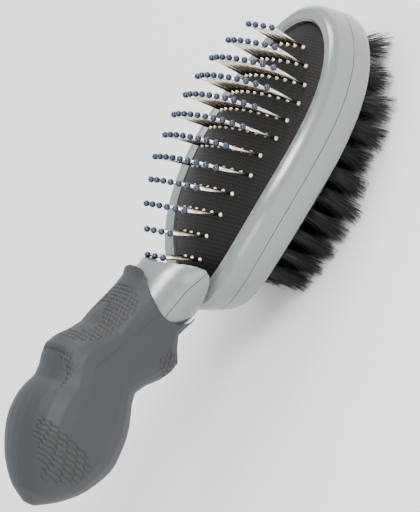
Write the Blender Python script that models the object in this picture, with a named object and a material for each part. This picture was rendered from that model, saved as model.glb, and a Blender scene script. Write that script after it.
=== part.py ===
"""Double-sided grooming brush: ball-tipped pins on a domed cushion on one face, bristle tufts on the other.

Frame, in millimetres before the final scale: X from the handle end to the head end, Y across, Z the way
the pins point. The origin is under the middle of the head, in the plane of the bristle tips.
The oval head is arched along its length, so its pieces are drawn flat, as (u, v, w), and then laid on the arch.
"""

import math

import bmesh
import bpy
from mathutils import Matrix, Vector

MM = 0.001
GAP = 0.3                       # clearance between touching pieces

# Head: an oval ring in two shells, arched along its length
HEAD_A, HEAD_B = 67.0, 41.6     # half length and half width at the parting plane
OPEN_A, OPEN_B = 58.6, 34.6     # half axes of the cushion opening
CAVITY_A, CAVITY_B = 64.6, 39.2  # half axes of the space inside the two shells
HALF_DEPTH = 10.7               # parting plane to each outer face
PART_Z = 32.5                   # height of the parting plane over the tips of the bristles, mid-head
ARCH_SPAN = 63.5                # half span over which the two arch heights are given
ARCH_RISE, ARCH_SKEW = 4.5, 8.5  # height of the arch, and its lean toward the handle end

# Cushion and pins
DOME_RISE, DOME_SKIN = 7.2, 1.8
DOME_RIM = 7.7                  # height of the cushion's clamped rim over the parting plane
CUSHION_GIVE = 2.4              # how far the cushion and its pins can be pressed in
PIN_COUNTS = (4, 7, 9, 10, 10, 10, 9, 9, 7, 6, 4, 3)
PIN_FIRST_U, PIN_STEP_U, PIN_STEP_V = 45.2, -8.55, 5.9
PIN_LENGTH, PIN_R, BALL_R = 19.0, 0.55, 1.25
PIN_SPLAY = math.radians(7.0)   # outward lean of the outermost pins
PIN_LEAN, PIN_FAN = -0.11, 0.0042  # lean toward the head end at mid-head, and its change per mm of u
PIN_SIDES = 4

# Bristle face
TUFT_ROWS, TUFT_STEP_U, TUFT_STEP_V = 11, 9.9, 6.6
TUFT_SHIFT = 4.5                # toward the head's end, so that the middle tuft's tip stands on the origin
TUFT_ROOT_R, TUFT_TIP_R = 1.5, 2.5

# Neck, pivot and handle
MOUTH_X, MOUTH_Z = -67.6, PART_Z + 17.4  # middle of the handle's mouth
PIN_SETBACK = 9.5               # pivot pin behind the mouth, along the neck's axis
NECK_TILT = math.radians(18.0)  # the neck's axis rises toward the handle
NECK_R, NECK_END = 15.6, 27.0   # radius, and how far the neck reaches into the handle
NECK_TAPER = 0.075              # the hidden end grows thinner, above and below, so it can rock
MOUTH_GAP = 0.8                 # clearance between the neck and the handle's mouth
NECK_WALL = 2.4
SHOULDER_START, SHOULDER_END = 1.5, 17.5  # where the neck's flanks leave the round and die into the ring
SHOULDER_SPREAD, SHOULDER_DROP = 6.5, 4.0  # how far they spread, and how much of the lower half goes
SLEEVE_WALL = 3.0
MOUTH_EDGE, MOUTH_DIP = -0.8, 12.5  # the mouth's edge along the neck's axis, and the scoop of its sides
PIN_SHAFT_R, PIN_SHAFT_HALF = 2.0, 12.6
TONGUE_Y, TONGUE_H = 5.0, 4.6   # half sizes of the handle's tongue that carries the pivot pin

# Grip stations: distance behind the mouth, height of the centre, half height, half width
GRIP = (
    (-4.0, -1.1, 18.0, 17.8),
    (4.0, 1.3, 17.7, 17.8),
    (9.0, 3.6, 17.4, 17.7),
    (15.0, 6.2, 17.5, 17.7),
    (18.5, 7.6, 17.7, 17.7),
    (23.0, 6.3, 21.0, 17.8),
    (27.0, 6.6, 22.3, 17.9),
    (31.0, 9.1, 23.2, 18.0),
    (35.0, 12.5, 23.9, 18.0),
    (38.5, 15.7, 23.4, 18.0),
    (43.0, 18.2, 21.2, 18.0),
    (48.0, 17.8, 20.4, 18.7),
    (52.5, 16.8, 20.6, 19.6),
    (61.0, 17.5, 23.6, 21.5),
    (71.0, 17.8, 24.1, 22.4),
    (78.0, 17.5, 22.9, 21.8),
    (85.0, 18.0, 19.9, 19.4),
    (92.0, 18.6, 15.6, 15.5),
    (99.0, 19.8, 8.6, 9.0),
    (103.0, 20.3, 2.0, 2.0),
)

for old in list(bpy.data.objects):
    bpy.data.objects.remove(old, do_unlink=True)
bpy.context.scene.unit_settings.scale_length = 1.0
BRUSH = bpy.data.collections.new("grooming_brush")
bpy.context.scene.collection.children.link(BRUSH)


# ---------------------------------------------------------------- shape helpers

def arch(u):
    """Height of the arched parting plane and its slope angle at distance u along the head."""
    x = u / ARCH_SPAN
    height = PART_Z - ARCH_RISE * x ** 2 - ARCH_SKEW * (x - x ** 3)
    slope = (-2 * ARCH_RISE * x - ARCH_SKEW * (1 - 3 * x ** 2)) / ARCH_SPAN
    return height, math.atan(slope)


def on_arch(u, v, w):
    height, angle = arch(u)
    return Vector((u - w * math.sin(angle), v, height + w * math.cos(angle)))


def neck_frame(s, y, h):
    """Point given along the neck's axis (toward the head), across, and up from the middle of the mouth."""
    c, d = math.cos(NECK_TILT), math.sin(NECK_TILT)
    return Vector((MOUTH_X + s * c + h * d, y, MOUTH_Z - s * d + h * c))


def oval(a, b, w, count):
    turns = [2 * math.pi * i / count for i in range(count)]
    return [Vector((a * math.cos(t), b * math.sin(t), w)) for t in turns]


def dome_top(u, v):
    """Height of the cushion's outer skin: a flat clamped rim, a short rise and a full dome."""
    r2 = (u / OPEN_A) ** 2 + (v / OPEN_B) ** 2
    if r2 >= 1:
        return DOME_RIM
    return DOME_RIM + (HALF_DEPTH - DOME_RIM - 1.2 + DOME_RISE) * (1 - r2) ** 0.62


def mesh_object(name, bm, merge=1e-4):
    bmesh.ops.remove_doubles(bm, verts=bm.verts, dist=merge)
    bmesh.ops.recalc_face_normals(bm, faces=bm.faces)
    mesh = bpy.data.meshes.new(name)
    bm.to_mesh(mesh)
    bm.free()
    obj = bpy.data.objects.new(name, mesh)
    BRUSH.objects.link(obj)
    return obj


def skin_rings(bm, rings, closed=False):
    """Quads between successive rings of points. A ring of one point is a tip; open ends are capped."""
    rows = [[bm.verts.new(p) for p in ring] for ring in rings]
    pairs = list(zip(rows, rows[1:])) + ([(rows[-1], rows[0])] if closed else [])
    for a, b in pairs:
        n = max(len(a), len(b))
        for i in range(n):
            j = (i + 1) % n
            corners = [a[i % len(a)], a[j % len(a)], b[j % len(b)], b[i % len(b)]]
            bm.faces.new(list(dict.fromkeys(corners)))
    if not closed:
        for row in (rows[0], rows[-1]):
            if len(row) > 2:
                bm.faces.new(row)


def loft(name, rings, closed=False):
    bm = bmesh.new()
    skin_rings(bm, rings, closed)
    return mesh_object(name, bm)


def disc(name, layers, count, steps=(1.0, 0.7, 0.36)):
    """A slab from (a, b, w) outlines; its two faces are gridded so that they can follow the arch."""
    first, last = layers[0], layers[-1]
    rings = [[Vector((0, 0, first[2]))]]
    rings += [oval(first[0] * k, first[1] * k, first[2], count) for k in reversed(steps[1:])]
    rings += [oval(a, b, w, count) for a, b, w in layers]
    rings += [oval(last[0] * k, last[1] * k, last[2], count) for k in steps[1:]]
    rings += [[Vector((0, 0, last[2]))]]
    return loft(name, rings)


def box(name, low, high):
    bm = bmesh.new()
    size = Matrix.Diagonal([b - a for a, b in zip(low, high)]).to_4x4()
    middle = Matrix.Translation([(a + b) / 2 for a, b in zip(low, high)])
    bmesh.ops.create_cube(bm, size=1.0, matrix=middle @ size)
    return mesh_object(name, bm)


def combine(obj, other, operation):
    """Boolean with another solid, which is used up."""
    step = obj.modifiers.new(operation.lower(), "BOOLEAN")
    step.operation, step.solver, step.object = operation, "EXACT", other
    graph = bpy.context.evaluated_depsgraph_get()
    result = bpy.data.meshes.new_from_object(obj.evaluated_get(graph))
    obj.modifiers.clear()
    obj.data = result
    bpy.data.objects.remove(other, do_unlink=True)
    return obj


def reshape(obj, rule):
    """Moves each point of a finished solid by a rule, from drawing coordinates to their place."""
    bm = bmesh.new()
    bm.from_mesh(obj.data)
    bmesh.ops.triangulate(bm, faces=[face for face in bm.faces if len(face.verts) > 4])
    for vertex in bm.verts:
        vertex.co = rule(*vertex.co)
    bmesh.ops.recalc_face_normals(bm, faces=bm.faces)
    bm.to_mesh(obj.data)
    bm.free()
    return obj


# ---------------------------------------------------------------- neck and handle solids

def neck_solid(name, inset, ahead, taper=NECK_TAPER, count=26):
    """The neck, pulled in by `inset`: round at the mouth, and spreading ahead of it to hug the oval ring."""
    end = NECK_END - inset
    stations = [(-end + 4 - 4 * math.cos(a), math.sin(a)) for a in (0.12, 0.6, 1.1)]
    stations += [(-end + 4 + (end - 4) * k / 3, 1.0) for k in range(4)]
    stations += [(ahead * k / 6, 1.0) for k in range(1, 7)]
    rings = []
    for s, round_off in stations:
        share = min(max(s - SHOULDER_START, 0) / (SHOULDER_END - SHOULDER_START), 0.99)
        round_r = NECK_R - inset
        behind = max(-s, 0)
        spread = SHOULDER_SPREAD * (1 - (1 - share) ** 1.25)
        half_w = (round_r - 0.25 * taper * behind) * round_off + spread
        upper = (round_r - taper * behind) * round_off * (1 - share ** 2.6) ** 0.5
        lower = (round_r - taper * behind) * round_off - SHOULDER_DROP * share
        ring = []
        for i in range(count):
            turn = 2 * math.pi * i / count
            h = math.cos(turn) * (upper if math.cos(turn) > 0 else lower)
            ring.append(neck_frame(s, half_w * math.sin(turn), h))
        rings.append(ring)
    return loft(name, rings)


def grip_section(behind):
    """Centre height, half height and half width of the grip, by a smooth curve through its stations."""
    k = 1
    while k < len(GRIP) - 2 and GRIP[k + 1][0] < behind:
        k += 1
    p0, p1, p2, p3 = (GRIP[max(k - 1, 0)], GRIP[k], GRIP[k + 1], GRIP[min(k + 2, len(GRIP) - 1)])
    span = p2[0] - p1[0]
    t = (behind - p1[0]) / span
    found = []
    for i in (1, 2, 3):
        m1 = span * (p2[i] - p0[i]) / (p2[0] - p0[0])
        m2 = span * (p3[i] - p1[i]) / (p3[0] - p1[0]) if p3[0] > p1[0] else 0
        found.append((2 * t ** 3 - 3 * t ** 2 + 1) * p1[i] + (t ** 3 - 2 * t ** 2 + t) * m1
                     + (3 * t ** 2 - 2 * t ** 3) * p2[i] + (t ** 3 - t ** 2) * m2)
    return found


def grip_solid(name, inset, start, end, rings_count, count):
    """The grip's outline, pulled in by `inset`, from `start` to `end` behind the mouth."""
    rings = []
    for k in range(rings_count + 1):
        share = k / rings_count
        behind = start + (end - start) * (1 - (1 - share) ** 1.25)
        rise, half_h, half_w = grip_section(min(behind + inset * (share > 0.8), 102.9))
        half_h, half_w = max(half_h - inset, 0.8), max(half_w - inset, 0.8)
        ring = []
        for i in range(count):
            turn = 2 * math.pi * i / count
            c, d = math.cos(turn), math.sin(turn)
            r = (abs(c) ** 2.25 + abs(d) ** 2.25) ** (-1 / 2.25)
            ring.append(Vector((MOUTH_X - behind, half_w * r * d, MOUTH_Z + rise + half_h * r * c)))
        rings.append(ring)
    return loft(name, rings)


def mouth_cutter(name):
    """Everything ahead of the handle's mouth, which is scooped back at the sides."""
    outline = [(-40.0, 60.0), (40.0, 60.0)]
    for k in range(25):
        h = 20.0 - 40.0 * k / 24
        scoop = max(1 - (h / 17.4) ** 2, 0)
        outline.append((h, MOUTH_EDGE - 0.12 * h - MOUTH_DIP * scoop))
    bottom = [neck_frame(s, -40, h) for h, s in outline]
    top = [neck_frame(s, 40, h) for h, s in outline]
    return loft(name, [bottom, top])


def cross_cylinder(name, radius, half):
    """A cylinder on the pivot axis, across the brush."""
    bm = bmesh.new()
    place = Matrix.Translation(neck_frame(-PIN_SETBACK, 0, 0)) @ Matrix.Rotation(math.pi / 2, 4, "X")
    bmesh.ops.create_cone(bm, segments=20, radius1=radius, radius2=radius, depth=2 * half,
                          cap_ends=True, matrix=place)
    return mesh_object(name, bm)


def neck_box(name, s_range, y_range, h_range):
    obj = box(name, (s_range[0], y_range[0], h_range[0]), (s_range[1], y_range[1], h_range[1]))
    return reshape(obj, neck_frame)


# ---------------------------------------------------------------- head shells

def ring_shell(name, side, count=52):
    """One half of the oval ring; side is +1 for the cushion face and -1 for the bristle face."""
    outline = (
        (HEAD_A - 0.1, HEAD_B - 0.1, GAP / 2), (HEAD_A, HEAD_B, 2.5), (HEAD_A - 0.3, HEAD_B - 0.3, 6.8),
        (HEAD_A - 1.2, HEAD_B - 1.2, 9.2), (HEAD_A - 3.0, HEAD_B - 3.0, HALF_DEPTH),
        (OPEN_A + 1.2, OPEN_B + 1.2, HALF_DEPTH), (OPEN_A, OPEN_B, HALF_DEPTH - 1.1),
        (OPEN_A, OPEN_B, DOME_RIM + GAP), (CAVITY_A, CAVITY_B, DOME_RIM + GAP),
        (CAVITY_A, CAVITY_B, GAP / 2),
    )
    obj = loft(name, [oval(a, b, side * w, count) for a, b, w in outline], closed=True)
    return reshape(obj, on_arch)


def head_column(name, inset, low, high, rises=False):
    """The oval of the head as a solid. One that `rises` goes on far above the face, drawing in as it does."""
    rings = [[on_arch(*p) for p in oval(HEAD_A - inset, HEAD_B - inset, w, 48)] for w in (low, high)]
    if rises:
        for height, draw_in in ((15.0, 0.0), (33.0, 5.2), (60.0, 14.2)):
            rings.append(oval(HEAD_A - inset - draw_in, HEAD_B - inset - draw_in, PART_Z + height, 48))
    return loft(name, rings)


def make_neck():
    """The neck's two half shells: the lower one is one piece with the ring, the upper one is its cover."""
    halves = []
    for side, name in ((1, "neck_cover"), (-1, "neck_lower")):
        half = neck_solid(name, 0.0, 17.0)
        hollow = neck_solid("hollow", NECK_WALL, 12.0)
        front_wall = head_column("front_wall", -1.0, -HALF_DEPTH - 14, HALF_DEPTH, True)
        hollow = combine(hollow, front_wall, "DIFFERENCE")
        half = combine(half, hollow, "DIFFERENCE")
        for y in (1, -1):
            boss = neck_box("boss", (-PIN_SETBACK - 4, -PIN_SETBACK + 4),
                            sorted((y * 8.0, y * 14.6)), (-12.0, 12.0))
            half = combine(half, combine(boss, neck_solid("trim", 1.2, 5.0), "INTERSECT"), "UNION")
        half = combine(half, cross_cylinder("bore", PIN_SHAFT_R + GAP, PIN_SHAFT_HALF + GAP), "DIFFERENCE")
        slot = neck_box("slot", (-NECK_END - 5, -15), (-TONGUE_Y - 1, TONGUE_Y + 1),
                        (-TONGUE_H - 2.8, TONGUE_H + 2.8))
        half = combine(half, slot, "DIFFERENCE")
        low, high = (-60, GAP / 2) if side > 0 else (-GAP / 2, 60)
        half = combine(half, neck_box("other_half", (-60, 90), (-60, 60), (low, high)), "DIFFERENCE")
        half = combine(half, head_column("inside", 1.9, -HALF_DEPTH - 14, HALF_DEPTH, True), "DIFFERENCE")
        halves.append(half)
    cover, lower = halves
    cover = combine(cover, head_column("clear", -GAP, -HALF_DEPTH - 12, HALF_DEPTH + GAP), "DIFFERENCE")
    return combine(ring_shell("front_frame", 1), lower, "UNION"), cover


# ---------------------------------------------------------------- build

front_frame, neck_cover = make_neck()
rear_frame = ring_shell("rear_frame", -1)

# Handle: a rubber sleeve round a hard core, whose tongue reaches into the hollow neck
def cup():
    return neck_solid("cup", -MOUTH_GAP, 20.0, taper=0.0)


sleeve = grip_solid("grip_sleeve", 0.0, -4.0, 103.0, 26, 26)
sleeve = combine(sleeve, grip_solid("core_space", SLEEVE_WALL, 20.0, 99.6, 12, 18), "DIFFERENCE")
sleeve = combine(combine(sleeve, cup(), "DIFFERENCE"), mouth_cutter("mouth"), "DIFFERENCE")

core = grip_solid("handle_core", SLEEVE_WALL + GAP, 20.4, 99.0, 12, 18)
core = combine(core, cup(), "DIFFERENCE")
tongue = neck_box("tongue", (-NECK_END - 6, 4.2 - PIN_SETBACK), (-TONGUE_Y, TONGUE_Y), (-TONGUE_H, TONGUE_H))
core = combine(core, tongue, "UNION")
core = combine(core, cross_cylinder("bore", PIN_SHAFT_R + GAP, 20.0), "DIFFERENCE")

pivot_pin = cross_cylinder("pivot_pin", PIN_SHAFT_R, PIN_SHAFT_HALF)
pads = [
    neck_box("return_pad_%s" % word, (-20.5, -15.0), (-4.4, 4.4),
             sorted((side * (TONGUE_H + GAP), side * 9.9)))
    for word, side in (("front", 1), ("rear", -1))
]

# Cushion: one domed rubber skin with a clearance hole for each pin
RIM_A, RIM_B = OPEN_A + 2.6, OPEN_B + 2.6


def cushion_skin():
    shares = (1.0, 0.94, 0.82, 0.62, 0.36)
    top = [oval(RIM_A, RIM_B, DOME_RIM, 36), oval(OPEN_A - 0.5, OPEN_B - 0.5, DOME_RIM, 36)]
    below = [oval(RIM_A, RIM_B, DOME_RIM - DOME_SKIN, 36)]
    for k in shares[1:]:
        for rings, drop in ((top, 0), (below, DOME_SKIN)):
            ring = oval((OPEN_A - 0.5) * k, (OPEN_B - 0.5) * k, 0, 36)
            for p in ring:
                p.z = dome_top(p.x, p.y) - drop
            rings.append(ring)
    crown = dome_top(0, 0)
    below.append([Vector((0, 0, crown - DOME_SKIN))])
    top.append([Vector((0, 0, crown))])
    return loft("cushion_pad", list(reversed(below)) + top)


def pin_places():
    for row, number in enumerate(PIN_COUNTS):
        u = PIN_FIRST_U + row * PIN_STEP_U
        yield row, u, [(j - (number - 1) / 2) * PIN_STEP_V for j in range(number)]


def turned(bm, u, v, low, profile):
    """A pin-like solid of revolution standing at (u, v), leaning outward with v and along the head with u."""
    lean = math.tan(PIN_SPLAY) * v / 30.0
    fan = math.tan(PIN_LEAN + PIN_FAN * u + arch(u)[1])
    rings = []
    for r, w in profile:
        centre = v + lean * (w - low)
        along = u + fan * (w - low)
        turns = [2 * math.pi * (i + 0.5) / PIN_SIDES for i in range(PIN_SIDES)]
        ring = [Vector((along + r * math.cos(t), centre + r * math.sin(t), w)) for t in turns]
        rings.append(ring if r > 0 else [Vector((along, centre, w))])
    skin_rings(bm, rings)


cushion = cushion_skin()
holes = bmesh.new()
for _, u, places in pin_places():
    for v in places:
        top = dome_top(u, v)
        turned(holes, u, v, top, [(PIN_R + GAP + 0.1, top - 5), (PIN_R + GAP + 0.1, top + 3)])
cushion = reshape(combine(cushion, mesh_object("holes", holes), "DIFFERENCE"), on_arch)

pin_rows = []
for row, u, places in pin_places():
    end = places[-1] + 1.6
    steps = 2 * len(places)
    strip = []
    for k in range(steps + 1):
        v = -end + 2 * end * k / steps
        high = min(dome_top(u - 1.6, v), dome_top(u + 1.6, v)) - DOME_SKIN - 0.7
        strip.append([Vector((u + du, v, w)) for du, w in
                      ((-1.6, high - 1.4), (1.6, high - 1.4), (1.6, high), (-1.6, high))])
    body = loft("pin_row_%02d" % (row + 1), strip)
    pins = bmesh.new()
    for v in places:
        top = dome_top(u, v)
        tip = top + PIN_LENGTH
        turned(pins, u, v, top, [
            (PIN_R, top - DOME_SKIN - 1.7), (PIN_R, tip - 2.0 * BALL_R), (BALL_R, tip - BALL_R), (0, tip)])
    body = combine(body, mesh_object("pins", pins), "UNION")
    pin_rows.append(reshape(body, on_arch))

# Inside the head: the plate that seals the cushion's air space
backing = reshape(disc("backing_plate", (
    (CAVITY_A - 0.4, CAVITY_B - 0.4, -1.2), (CAVITY_A - 0.4, CAVITY_B - 0.4, 0.6)), 36), on_arch)

# Bristle face: a block that fills the rear opening, with a groove for each row of tufts
block = disc("bristle_block", (
    (OPEN_A - 0.4, OPEN_B - 0.4, -HALF_DEPTH - 0.6), (OPEN_A - 0.4, OPEN_B - 0.4, -DOME_RIM + 0.1 * GAP),
    (RIM_A, RIM_B, -DOME_RIM + 0.1 * GAP), (RIM_A, RIM_B, -2.4)), 32)


def tuft_places():
    for row in range(TUFT_ROWS):
        u = (TUFT_ROWS // 2 - row) * TUFT_STEP_U + TUFT_SHIFT
        half = (OPEN_B - 4.2) * math.sqrt(1 - (u / (OPEN_A - 2.0)) ** 2)
        number = 2 * int(half / TUFT_STEP_V) + 1 if row % 2 else 2 * int(half / TUFT_STEP_V + 0.5)
        yield row, u, [(j - (number - 1) / 2) * TUFT_STEP_V for j in range(number)]


def ground_w(u):
    """The w at which a line square to the arch at u reaches the plane of the bristle tips."""
    height, angle = arch(u)
    return -height / math.cos(angle)


grooves = bmesh.new()
for _, u, places in tuft_places():
    end = places[-1] + 2.4
    skin_rings(grooves, [[Vector((u + du, v, w)) for du, w in
                          ((-2.1, -HALF_DEPTH - 3), (2.1, -HALF_DEPTH - 3), (2.1, -6.4), (-2.1, -6.4))]
                         for v in (-end, end)])
block = reshape(combine(block, mesh_object("grooves", grooves), "DIFFERENCE"), on_arch)

bristle_rows = []
for row, u, places in tuft_places():
    end = places[-1] + 2.1
    body = loft("bristle_row_%02d" % (row + 1), [
        [Vector((u + du, v, w)) for du, w in
         ((-1.8, -HALF_DEPTH - 0.4), (1.8, -HALF_DEPTH - 0.4), (1.8, -6.7), (-1.8, -6.7))]
        for v in (-end, end)])
    tufts = bmesh.new()
    for v in places:
        turns = [2 * math.pi * (i + 0.5) / 4 for i in range(4)]
        spread = 1 + 0.10 * v / 30.0
        root = [Vector((u + TUFT_ROOT_R * math.cos(t), v + TUFT_ROOT_R * math.sin(t), -8.5)) for t in turns]
        tip = []
        for t in turns:
            along = u + TUFT_TIP_R * math.cos(t)
            tip.append(Vector((along, v * (spread + 0.02) + TUFT_TIP_R * math.sin(t), ground_w(along))))
        skin_rings(tufts, [root, tip])
    body = combine(body, mesh_object("tufts", tufts), "UNION")
    bristle_rows.append(reshape(body, on_arch))


# ---------------------------------------------------------------- materials, parents, scale

def material(name, colour, roughness, metallic=0.0):
    found = bpy.data.materials.new(name)
    found.use_nodes = True
    surface = found.node_tree.nodes["Principled BSDF"]
    surface.inputs["Base Color"].default_value = (*colour, 1.0)
    surface.inputs["Roughness"].default_value = roughness
    surface.inputs["Metallic"].default_value = metallic
    return found


LOOKS = (
    ("satin_silver_plastic", (0.50, 0.53, 0.52), 0.38, 0.15, [front_frame, neck_cover, rear_frame]),
    ("grey_grip_rubber", (0.105, 0.118, 0.128), 0.62, 0.0, [sleeve]),
    ("dark_core_plastic", (0.03, 0.03, 0.035), 0.5, 0.0, [core, backing]),
    ("black_block_plastic", (0.012, 0.012, 0.014), 0.55, 0.0, [block]),
    ("woven_cushion_rubber", (0.022, 0.019, 0.017), 0.7, 0.0, [cushion]),
    ("nickel_pin_steel", (0.62, 0.58, 0.50), 0.25, 1.0, pin_rows),
    ("pivot_steel", (0.55, 0.55, 0.56), 0.3, 1.0, [pivot_pin]),
    ("return_pad_rubber", (0.05, 0.05, 0.05), 0.8, 0.0, pads),
    ("black_bristle", (0.008, 0.008, 0.010), 0.45, 0.0, bristle_rows),
)
for label, colour, rough, metal, pieces in LOOKS:
    for piece in pieces:
        look = material(label if len(pieces) == 1 else label + "_" + piece.name, colour, rough, metal)
        piece.data.materials.clear()
        piece.data.materials.append(look)


def joint_at(name, place, parent=None):
    empty = bpy.data.objects.new(name, None)
    BRUSH.objects.link(empty)
    empty.location = place * MM
    if parent:
        empty.parent = parent
        empty.location -= parent.location
    return empty


pivot = neck_frame(-PIN_SETBACK, 0, 0)
give = on_arch(0, 0, DOME_RIM)
head_joint = joint_at("head_joint", pivot)
cushion_joint = joint_at("cushion_joint", give, head_joint)

groups = (
    (None, Vector((0, 0, 0)), [sleeve, core] + pads),
    (head_joint, pivot, [front_frame, neck_cover, rear_frame, backing, block, pivot_pin] + bristle_rows),
    (cushion_joint, give, [cushion] + pin_rows),
)
SMOOTH = math.radians(38)
for parent, origin, pieces in groups:
    for piece in pieces:
        for vertex in piece.data.vertices:
            vertex.co = (vertex.co - origin) * MM
        piece.parent = parent
        for face in piece.data.polygons:
            face.use_smooth = True
        piece.data.set_sharp_from_angle(angle=SMOOTH)
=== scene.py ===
"""Looks of the double-sided grooming brush: grip, cushion, pins, bristles, materials, light and camera.

Lengths are in millimetres until MM turns them into metres. The head's pieces are drawn flat, as (u, v, w),
and laid on the same arch as the CAD head.
"""

import math
import random

import bpy
from mathutils import Matrix, Vector


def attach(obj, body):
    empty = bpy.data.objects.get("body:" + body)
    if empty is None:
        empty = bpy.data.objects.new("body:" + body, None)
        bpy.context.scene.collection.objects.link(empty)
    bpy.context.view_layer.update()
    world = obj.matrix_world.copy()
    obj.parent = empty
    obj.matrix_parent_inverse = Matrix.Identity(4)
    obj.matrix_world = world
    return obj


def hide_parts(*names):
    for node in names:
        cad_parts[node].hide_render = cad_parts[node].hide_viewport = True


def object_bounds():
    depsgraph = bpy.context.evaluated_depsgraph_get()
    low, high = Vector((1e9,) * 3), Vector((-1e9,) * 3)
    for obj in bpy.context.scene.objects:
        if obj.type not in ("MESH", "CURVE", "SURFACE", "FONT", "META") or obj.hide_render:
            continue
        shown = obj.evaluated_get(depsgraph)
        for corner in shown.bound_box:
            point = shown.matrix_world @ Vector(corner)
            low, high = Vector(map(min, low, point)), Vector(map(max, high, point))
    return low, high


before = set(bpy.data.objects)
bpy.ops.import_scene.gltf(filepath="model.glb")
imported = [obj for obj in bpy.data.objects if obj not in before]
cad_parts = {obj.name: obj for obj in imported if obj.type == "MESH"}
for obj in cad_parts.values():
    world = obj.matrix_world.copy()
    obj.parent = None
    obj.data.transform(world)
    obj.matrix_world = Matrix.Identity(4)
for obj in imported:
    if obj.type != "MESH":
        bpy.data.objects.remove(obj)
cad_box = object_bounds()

MM = 0.001
WELD = 0.02 * MM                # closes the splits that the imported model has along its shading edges

# Head, as in the CAD part
OPEN_A, OPEN_B = 58.6, 34.6     # half axes of the cushion's opening
RIM_A, RIM_B = 61.2, 37.2       # half axes of the cushion's clamped rim
HALF_DEPTH = 10.7
PART_Z = 32.5
ARCH_SPAN, ARCH_RISE, ARCH_SKEW = 63.5, 4.5, 8.5
DOME_RIM, DOME_RISE = 7.7, 7.2
RIM_STEP = 1.2                  # how far below the ring's face the dome's rise starts
DOME_FULLNESS = 0.62            # below 1, the dome is steep at its edge and flat on top

# Cushion's weave
CUSHION_STEP = 0.36             # mesh step
CUSHION_SKIN = 1.4
RIB_PITCH, CORD_PITCH = 1.5, 1.9  # one rib along the head, and one cord across it
RIB_SHARE, CORD_SHARE = 0.72, 0.28  # how much each adds to the weave
WEAVE_DEPTH = 0.16

# Pins, drawn slightly thicker than in the CAD part
PIN_COUNTS = (4, 7, 9, 10, 10, 10, 9, 9, 7, 6, 4, 3)
PIN_FIRST_U, PIN_STEP_U, PIN_STEP_V = 45.2, -8.55, 5.9
PIN_LENGTH, PIN_R, BALL_R = 19.0, 0.62, 1.35
PIN_SPLAY = math.radians(7.0)   # outward lean at SPLAY_AT across the head
SPLAY_AT = 30.0
PIN_LEAN, PIN_FAN = -0.11, 0.0042  # lean toward the head's end at mid-head, and its change per mm of u
PIN_ROOT = 1.6                  # how far a pin goes on below the cushion
WIRE_RINGS = (3.0, 6.0, 9.0)    # rings between foot and ball, which carry the painted reflection's change from dark to bright
SHINE_FROM, SHINE_OVER = 3.5, 5.0  # height where a pin's painted reflection starts to brighten, and the length that it takes
WIRE_SIDES, BALL_SIDES, BALL_RINGS, COLLAR_SIDES = 10, 16, 10, 14
# Collar at a pin's foot: radius, height
COLLAR = ((1.15, -0.6), (1.1, 0.1), (0.95, 0.35), (0.7, 0.55), (0.64, 1.1))

# Bristles
TUFT_ROWS, TUFT_STEP_U, TUFT_STEP_V = 11, 9.9, 6.6
TUFT_SHIFT = 4.5                # toward the head's end
TUFT_MARGIN_U, TUFT_MARGIN_V = 2.0, 4.2  # how far inside the opening the tufts stop
FLARE_U, FLARE_V = 1.1, 1.14    # how far the tips spread, along and across the head
STRANDS = 125                   # in one tuft
ROOT_R, TIP_R = 1.9, 5.2        # radius of a tuft at its root and at its tips
ROOT_SUNK = 1.0                 # how far a strand starts inside the block
STRAND_R, STRAND_TAPER = 0.13, 0.6
STRAND_BOW = 0.5                # the most that a strand's middle is drawn toward its tuft's axis
TIP_SCATTER = 0.5
BRISTLE_SEED = 11
TIP_UNEVEN = 3.4                # how far the shortest strands stop above the rest

# Neck axis and grip
MOUTH_X, MOUTH_Z = -67.6, PART_Z + 17.4
NECK_TILT = math.radians(18.0)
GRIP_VOXEL, GRIP_SMOOTHING = 0.42, 14
AXIS_RISE, AXIS_START = 0.2, 1.0  # the grip's own axis climbs over the neck's axis, and starts over it
GRIP_R = 20.0                   # mean radius, for arc lengths round the grip
OUTER_R = 12.5                  # the engraved outside lies farther than this from the axis
SCALE_WIDE, SCALE_LONG = 2.5, 1.9  # one engraved scale, round the grip and along it
SCALE_R = 1.5
GROOVE_DEPTH, GROOVE_HALF = 0.42, 0.34
SEAM_DEPTH, SEAM_HALF = 0.12, 0.4
SEAM_START, SEAM_END = 14.0, 50.0
PATCH_BORDER = 0.06             # share of a patch over which the engraving fades out
# Engraved patches: start and end behind the mouth, then middle and half width, in degrees from the pin side
PATCHES = (
    (11.0, 46.0, 0.0, 70.0),
    (19.0, 31.0, 180.0, 50.0),
    (50.0, 80.0, 0.0, 84.0),
    (77.0, 102.0, 118.0, 36.0),
    (77.0, 102.0, -118.0, 36.0),
)


# ---------------------------------------------------------------- geometry of the CAD head

def arch(u):
    x = u / ARCH_SPAN
    height = PART_Z - ARCH_RISE * x ** 2 - ARCH_SKEW * (x - x ** 3)
    slope = (-2 * ARCH_RISE * x - ARCH_SKEW * (1 - 3 * x ** 2)) / ARCH_SPAN
    return height, math.atan(slope)


def on_arch(u, v, w):
    height, angle = arch(u)
    return Vector((u - w * math.sin(angle), v, height + w * math.cos(angle)))


def dome_top(u, v):
    r2 = (u / OPEN_A) ** 2 + (v / OPEN_B) ** 2
    if r2 >= 1:
        return DOME_RIM
    return DOME_RIM + (HALF_DEPTH - DOME_RIM - RIM_STEP + DOME_RISE) * (1 - r2) ** DOME_FULLNESS


def along_neck(point):
    """(distance behind the mouth, across, height over the neck's axis) of a point."""
    x, z = point.x - MOUTH_X, point.z - MOUTH_Z
    c, d = math.cos(NECK_TILT), math.sin(NECK_TILT)
    return -(x * c - z * d), point.y, x * d + z * c


# ---------------------------------------------------------------- mesh helpers

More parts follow.
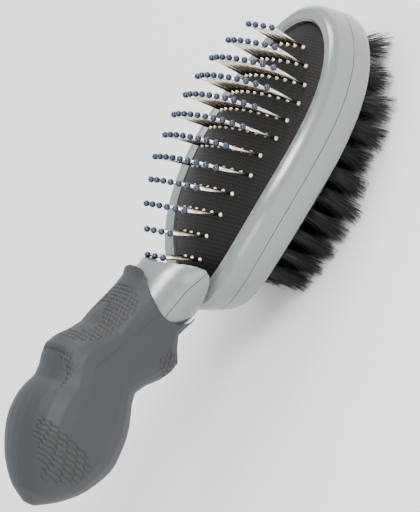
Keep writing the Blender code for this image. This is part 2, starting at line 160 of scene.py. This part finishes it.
def add_mesh(name, points, faces, look, body, slot):
    """A smooth-shaded piece from points in millimetres, riding on a CAD body."""
    mesh = bpy.data.meshes.new(name)
    mesh.from_pydata([tuple(p * MM) for p in points], [], faces)
    mesh.polygons.foreach_set("use_smooth", [True] * len(faces))
    mesh.materials.append(look)
    mesh.update()
    piece = bpy.data.objects.new(name, mesh)
    bpy.context.scene.collection.objects.link(piece)
    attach(piece, body)
    return piece


def square_to(axis):
    """Two unit vectors square to an axis and to each other."""
    side = axis.cross(Vector((0, 1, 0))) if abs(axis.y) < 0.9 else axis.cross(Vector((1, 0, 0)))
    side.normalize()
    return side, axis.cross(side).normalized()


def spin(points, faces, centres, radii, sides):
    """Adds a closed round skin through circles about the centres; a radius of 0 is a point."""
    axis = (centres[-1] - centres[0]).normalized()
    side, up = square_to(axis)
    rings = []
    for centre, r in zip(centres, radii):
        first = len(points)
        if r == 0:
            points.append(centre)
            rings.append([first] * sides)
            continue
        for i in range(sides):
            turn = 2 * math.pi * i / sides
            points.append(centre + r * (math.cos(turn) * side + math.sin(turn) * up))
        rings.append(list(range(first, first + sides)))
    for low, high in zip(rings, rings[1:]):
        for i in range(sides):
            j = (i + 1) % sides
            face = [low[i], low[j], high[j], high[i]]
            faces.append(list(dict.fromkeys(face)))
    if radii[0]:
        faces.append(rings[0][::-1])
    if radii[-1]:
        faces.append(rings[-1])


# ---------------------------------------------------------------- materials

def new_look(name, colour, roughness, metallic=0.0, coat=0.0):
    look = bpy.data.materials.new(name)
    look.use_nodes = True
    surface = look.node_tree.nodes["Principled BSDF"]
    surface.inputs["Base Color"].default_value = (*colour, 1.0)
    surface.inputs["Roughness"].default_value = roughness
    surface.inputs["Metallic"].default_value = metallic
    surface.inputs["Coat Weight"].default_value = coat
    surface.inputs["Coat Roughness"].default_value = 0.25
    return look


def add_grain(look, scale, strength, distance):
    """A fine moulded grain, as a bump from object-space noise."""
    nodes, links = look.node_tree.nodes, look.node_tree.links
    place = nodes.new("ShaderNodeTexCoord")
    noise = nodes.new("ShaderNodeTexNoise")
    noise.inputs["Scale"].default_value = scale
    noise.inputs["Detail"].default_value = 3.0
    bump = nodes.new("ShaderNodeBump")
    bump.inputs["Strength"].default_value = strength
    bump.inputs["Distance"].default_value = distance
    links.new(place.outputs["Object"], noise.inputs["Vector"])
    links.new(noise.outputs["Fac"], bump.inputs["Height"])
    links.new(bump.outputs["Normal"], nodes["Principled BSDF"].inputs["Normal"])


def shade_by(look, attribute, low, high):
    """Mixes the base colour between two colours by a point attribute from 0 to 1."""
    nodes, links = look.node_tree.nodes, look.node_tree.links
    source = nodes.new("ShaderNodeAttribute")
    source.attribute_name = attribute
    mix = nodes.new("ShaderNodeMix")
    mix.data_type = "RGBA"
    # A mix node has one set of sockets for each data type: these are its factor and its two colours.
    mix.inputs[6].default_value = (*low, 1.0)
    mix.inputs[7].default_value = (*high, 1.0)
    links.new(source.outputs["Fac"], mix.inputs[0])
    links.new(mix.outputs[2], nodes["Principled BSDF"].inputs["Base Color"])


def set_attribute(piece, name, values):
    layer = piece.data.attributes.new(name, "FLOAT", "POINT")
    layer.data.foreach_set("value", values)


silver = new_look("satin_silver_plastic", (0.22, 0.24, 0.233), 0.25, 0.5, 0.35)
add_grain(silver, 2600.0, 0.12, 0.00004)
grey_rubber = new_look("grey_grip_rubber", (0.10, 0.112, 0.122), 0.55)
add_grain(grey_rubber, 1900.0, 0.35, 0.00006)
# Painted shade: the rubber is coloured darker the deeper the engraved scales and the seam line sink.
shade_by(grey_rubber, "groove", (0.021, 0.024, 0.026), (0.004, 0.0045, 0.005))
dark_core = new_look("dark_core_plastic", (0.03, 0.03, 0.035), 0.5)
black_block = new_look("black_block_plastic", (0.012, 0.012, 0.014), 0.45)
woven = new_look("woven_cushion_rubber", (0.03, 0.024, 0.02), 0.6)
# Painted shade: the cushion is coloured darker where its weave sinks and lighter on the raised ribs and
# cords.
shade_by(woven, "weave", (0.001, 0.001, 0.001), (0.011, 0.009, 0.0075))
woven.node_tree.nodes["Principled BSDF"].inputs["Specular IOR Level"].default_value = 0.22
nickel = new_look("nickel_pin_steel", (0.7, 0.64, 0.53), 0.2, 1.0)
# Painted reflection: each wire is coloured dark near its foot and bright higher up, for the dark cushion and
# the light room mirrored in the steel.
shade_by(nickel, "painted_pin_reflection", (0.10, 0.08, 0.06), (0.80, 0.74, 0.63))
collar_look = new_look("collar_nickel", (0.66, 0.58, 0.46), 0.28, 1.0)
blue_ball = new_look("dark_blue_ball", (0.003, 0.014, 0.050), 0.16, 0.0, 0.5)
pivot_look = new_look("pivot_steel", (0.55, 0.55, 0.56), 0.3, 1.0)
pad_look = new_look("return_pad_rubber", (0.05, 0.05, 0.05), 0.8)
fibre = new_look("black_bristle", (0.003, 0.003, 0.004), 0.38, 0.0, 0.1)

CAD_LOOKS = {
    "front_frame": silver, "neck_cover": silver, "rear_frame": silver,
    "handle_core": dark_core, "backing_plate": dark_core, "bristle_block": black_block,
    "pivot_pin": pivot_look, "return_pad_front": pad_look, "return_pad_rear": pad_look,
}
SMOOTH_UNDER = math.radians(34.0)


def dress(node, look):
    """Gives a CAD node its material, and shades it smooth except over its real edges."""
    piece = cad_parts[node]
    piece.data.materials.clear()
    piece.data.materials.append(look)
    if "custom_normal" in piece.data.attributes:
        piece.data.attributes.remove(piece.data.attributes["custom_normal"])
    piece.data.polygons.foreach_set("use_smooth", [True] * len(piece.data.polygons))
    weld = piece.modifiers.new("weld", "WELD")
    weld.merge_threshold = WELD
    split = piece.modifiers.new("real_edges", "EDGE_SPLIT")
    split.split_angle = SMOOTH_UNDER
    split.use_edge_sharp = False


for node, look in CAD_LOOKS.items():
    dress(node, look)


# ---------------------------------------------------------------- cushion

def weave_depth(u, v):
    """How far the woven grain sinks at a place on the cushion, from 0 to 1."""
    rib = 0.5 + 0.5 * math.sin(2 * math.pi * u / RIB_PITCH)
    cord = 0.5 + 0.5 * math.sin(2 * math.pi * v / CORD_PITCH)
    return 1 - RIB_SHARE * rib - CORD_SHARE * cord


def make_cushion():
    """The domed skin, as a fine grid trimmed to the oval, with the weave pressed into it."""
    across, painted_pin_reflection = int(RIM_B / CUSHION_STEP), int(RIM_A / CUSHION_STEP)
    points, raised = [], []
    index, inside = {}, {}
    for i in range(-painted_pin_reflection - 1, painted_pin_reflection + 2):
        for j in range(-across - 1, across + 2):
            u, v = i * CUSHION_STEP, j * CUSHION_STEP
            r = math.hypot(u / RIM_A, v / RIM_B)
            inside[i, j] = r <= 1
            if r > 1:
                u, v = u / r, v / r
            depth = weave_depth(u, v)
            index[i, j] = len(points)
            points.append(on_arch(u, v, dome_top(u, v) - WEAVE_DEPTH * depth))
            raised.append(1 - depth)
    faces = []
    for i in range(-painted_pin_reflection - 1, painted_pin_reflection + 1):
        for j in range(-across - 1, across + 1):
            cell = [(i, j), (i + 1, j), (i + 1, j + 1), (i, j + 1)]
            if any(inside[c] for c in cell):
                faces.append([index[c] for c in cell])
    piece = add_mesh("cushion_skin", points, faces, woven, "cushion", "cushion_pad")
    # raised holds the height in the weave that lightens its ribs and darkens its hollows as painted shade.
    set_attribute(piece, "weave", raised)
    solid = piece.modifiers.new("thickness", "SOLIDIFY")
    solid.thickness = CUSHION_SKIN * MM
    solid.offset = -1.0
    return piece


cushion = make_cushion()
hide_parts("cushion_pad")


# ---------------------------------------------------------------- pins

def pin_axes():
    """(foot on the cushion, unit axis) of every pin."""
    for row, number in enumerate(PIN_COUNTS):
        u = PIN_FIRST_U + row * PIN_STEP_U
        for j in range(number):
            v = (j - (number - 1) / 2) * PIN_STEP_V
            top = dome_top(u, v)
            fan = math.tan(PIN_LEAN + PIN_FAN * u + arch(u)[1])
            lean = math.tan(PIN_SPLAY) * v / SPLAY_AT
            foot = on_arch(u, v, top)
            tip = on_arch(u + fan * PIN_LENGTH, v + lean * PIN_LENGTH, top + PIN_LENGTH)
            yield foot, (tip - foot).normalized()


def make_pins():
    """Wires, balls and collars, each kind as one piece."""
    wires, balls, collars = ([], []), ([], []), ([], [])
    shine = []
    wire_steps = (-PIN_ROOT, 0.0, *WIRE_RINGS, PIN_LENGTH - 2 * BALL_R)
    wire_radii = [PIN_R] * len(wire_steps)
    ball_turns = [math.pi * k / BALL_RINGS for k in range(BALL_RINGS + 1)]
    for foot, axis in pin_axes():
        spin(*wires, [foot + axis * s for s in wire_steps], wire_radii, WIRE_SIDES)
        # painted reflection: share of bright colour, rising from SHINE_FROM over SHINE_OVER
        for s in wire_steps:
            shine += [min(max((s - SHINE_FROM) / SHINE_OVER, 0.0), 1.0)] * WIRE_SIDES
        middle = foot + axis * (PIN_LENGTH - BALL_R)
        centres = [middle - axis * BALL_R * math.cos(t) for t in ball_turns]
        radii = [0] + [BALL_R * math.sin(t) for t in ball_turns[1:-1]] + [0]
        spin(*balls, centres, radii, BALL_SIDES)
        spin(*collars, [foot + axis * h for _, h in COLLAR], [r for r, _ in COLLAR], COLLAR_SIDES)
    wire = add_mesh("pin_wires", *wires, nickel, "cushion", "pins")
    set_attribute(wire, "painted_pin_reflection", shine)
    add_mesh("pin_balls", *balls, blue_ball, "cushion", "pins")
    add_mesh("pin_collars", *collars, collar_look, "cushion", "pins")
    return wire


pins = make_pins()
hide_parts(*["pin_row_%02d" % (k + 1) for k in range(len(PIN_COUNTS))])


# ---------------------------------------------------------------- bristles

def tuft_places():
    """(u, v) of every tuft, staggered from row to row."""
    for row in range(TUFT_ROWS):
        u = (TUFT_ROWS // 2 - row) * TUFT_STEP_U + TUFT_SHIFT
        half = (OPEN_B - TUFT_MARGIN_V) * math.sqrt(1 - (u / (OPEN_A - TUFT_MARGIN_U)) ** 2)
        number = 2 * int(half / TUFT_STEP_V) + 1 if row % 2 else 2 * int(half / TUFT_STEP_V + 0.5)
        for j in range(number):
            yield u, (j - (number - 1) / 2) * TUFT_STEP_V


def ground_w(u):
    """The w at which a line square to the arch at u reaches the plane of the bristle tips."""
    height, angle = arch(u)
    return -height / math.cos(angle)


def make_bristles():
    """Every strand as a thin bowed tube from the block to just above the plane of the tips."""
    draw = random.Random(BRISTLE_SEED)
    points, faces = [], []
    for u, v in tuft_places():
        for _ in range(STRANDS):
            turn, reach = draw.uniform(0, 2 * math.pi), math.sqrt(draw.random())
            side = Vector((math.cos(turn), math.sin(turn), 0)) * reach
            root = on_arch(u + ROOT_R * side.x, v + ROOT_R * side.y, -HALF_DEPTH + ROOT_SUNK)
            far_u = u * FLARE_U + TIP_R * side.x + draw.gauss(0, TIP_SCATTER)
            short = TIP_UNEVEN * draw.random() ** 2
            far_v = v * FLARE_V + TIP_R * side.y + draw.gauss(0, TIP_SCATTER)
            tip = on_arch(far_u, far_v, ground_w(far_u) + short)
            tip.z = max(tip.z, 0.0)
            bow = (root + tip) / 2 - side * STRAND_BOW
            spin(points, faces, [root, bow, tip], [STRAND_R, STRAND_R, STRAND_TAPER * STRAND_R], 3)
    return add_mesh("bristle_strands", points, faces, fibre, "head", "bristles")


bristles = make_bristles()
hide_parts(*["bristle_row_%02d" % (k + 1) for k in range(TUFT_ROWS)])


# ---------------------------------------------------------------- grip

def groove_at(behind, round_the_grip):
    """Share of the full depth at a place in the scale pattern, where each row laps over the row before it."""
    row = math.floor(behind / SCALE_LONG)
    for k in (row + 1, row, row - 1):
        shift = 0.5 * SCALE_WIDE * (k % 2)
        column = round((round_the_grip - shift) / SCALE_WIDE)
        for c in (column, column - 1, column + 1):
            d = math.hypot(behind - k * SCALE_LONG, round_the_grip - shift - c * SCALE_WIDE)
            if d < SCALE_R:
                return math.exp(-((SCALE_R - d) / GROOVE_HALF) ** 2)
    return 0.0


def patch_share(behind, turn):
    """1 inside an engraved patch, falling to 0 over its rounded border."""
    best = 0.0
    for start, end, middle, half in PATCHES:
        x = (2 * behind - start - end) / (end - start)
        away = (turn - middle + 180.0) % 360.0 - 180.0
        edge = 1 - (abs(x) ** 3 + abs(away / half) ** 3) ** (1 / 3)
        best = max(best, min(max(edge / PATCH_BORDER, 0.0), 1.0))
    return best


def make_grip():
    """The sleeve remeshed finely from the CAD sleeve, smoothed, then engraved."""
    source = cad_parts["grip_sleeve"]
    work = bpy.data.objects.new("grip_work", source.data.copy())
    bpy.context.scene.collection.objects.link(work)
    weld = work.modifiers.new("weld", "WELD")
    weld.merge_threshold = WELD
    remesh = work.modifiers.new("remesh", "REMESH")
    remesh.mode = "VOXEL"
    remesh.voxel_size = GRIP_VOXEL * MM
    smooth = work.modifiers.new("smooth", "SMOOTH")
    smooth.factor = 0.5
    smooth.iterations = GRIP_SMOOTHING
    graph = bpy.context.evaluated_depsgraph_get()
    mesh = bpy.data.meshes.new_from_object(work.evaluated_get(graph))
    bpy.data.objects.remove(work)

    mesh.name = "grip_engraved"
    moved, sunk = [], []
    for vertex in mesh.vertices:
        p = vertex.co / MM
        behind, y, h = along_neck(p)
        up = h - AXIS_RISE * behind - AXIS_START
        turn = math.degrees(math.atan2(y, up))
        share = 0.0
        if vertex.normal.dot(Vector((0, y, up))) > 0 and math.hypot(y, up) > OUTER_R:
            share = patch_share(behind, turn) * groove_at(behind, math.radians(turn) * GRIP_R)
            if abs(y) > OUTER_R and SEAM_START < behind < SEAM_END:
                share = max(share, math.exp(-(up / SEAM_HALF) ** 2) * SEAM_DEPTH / GROOVE_DEPTH)
        moved.append((p - vertex.normal * GROOVE_DEPTH * share) * MM)
        sunk.append(share)
    for vertex, place in zip(mesh.vertices, moved):
        vertex.co = place
    mesh.polygons.foreach_set("use_smooth", [True] * len(mesh.polygons))
    mesh.materials.clear()
    mesh.materials.append(grey_rubber)
    piece = bpy.data.objects.new("grip_engraved", mesh)
    bpy.context.scene.collection.objects.link(piece)
    # sunk holds the engraving depth that darkens the grooves and the seam line as painted shade.
    set_attribute(piece, "groove", sunk)
    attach(piece, "handle")
    return piece


grip = make_grip()
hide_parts("grip_sleeve")


# ---------------------------------------------------------------- floor, light, camera

# Metres from here on
FLOOR_HALF, FLOOR_GAP = 6.0, 0.0004
floor_mesh = bpy.data.meshes.new("floor")
floor_z = cad_box[0].z - FLOOR_GAP
floor_mesh.from_pydata(
    [(x * FLOOR_HALF, y * FLOOR_HALF, floor_z) for x, y in ((-1, -1), (1, -1), (1, 1), (-1, 1))],
    [], [(0, 1, 2, 3)])
floor_mesh.materials.append(new_look("pale_floor", (0.96, 0.96, 0.96), 0.9))
floor = bpy.data.objects.new("floor", floor_mesh)
bpy.context.scene.collection.objects.link(floor)

world = bpy.data.worlds.new("soft_room")
world.use_nodes = True
world.node_tree.nodes["Background"].inputs["Color"].default_value = (0.95, 0.97, 1.0, 1.0)
world.node_tree.nodes["Background"].inputs["Strength"].default_value = 1.5
bpy.context.scene.world = world

# Name, place, size and power of each lamp; every one looks at the middle of the brush
LAMPS = (
    ("key", (0.25, -0.75, 1.0), 0.5, 11.0),
    ("side", (0.7, 0.1, 0.55), 0.35, 4.0),
    ("low_fill", (-0.7, -0.9, 0.35), 0.6, 3.5),
)
AIM = Vector((-0.04, 0.0, 0.04))
for name, place, size, power in LAMPS:
    lamp = bpy.data.lights.new(name, "AREA")
    lamp.size = size
    lamp.energy = power
    holder = bpy.data.objects.new(name, lamp)
    holder.location = place
    holder.rotation_euler = (AIM - Vector(place)).to_track_quat("-Z", "Y").to_euler()
    bpy.context.scene.collection.objects.link(holder)

CAMERA_PLACE = (-0.3694, -2.5038, 1.4662)
FORWARD, UP = Vector((0.1110, 0.8631, -0.4927)), Vector((0.9164, 0.1029, 0.3868))
RIGHT = FORWARD.cross(UP)
lens = bpy.data.cameras.new("camera")
lens.lens = 499.6
lens.sensor_width = 36.0
lens.clip_start, lens.clip_end = 0.1, 30.0
camera = bpy.data.objects.new("camera", lens)
facing = Matrix((RIGHT, UP, -FORWARD)).transposed().to_4x4()
camera.matrix_world = Matrix.Translation(CAMERA_PLACE) @ facing
bpy.context.scene.collection.objects.link(camera)
bpy.context.scene.camera = camera
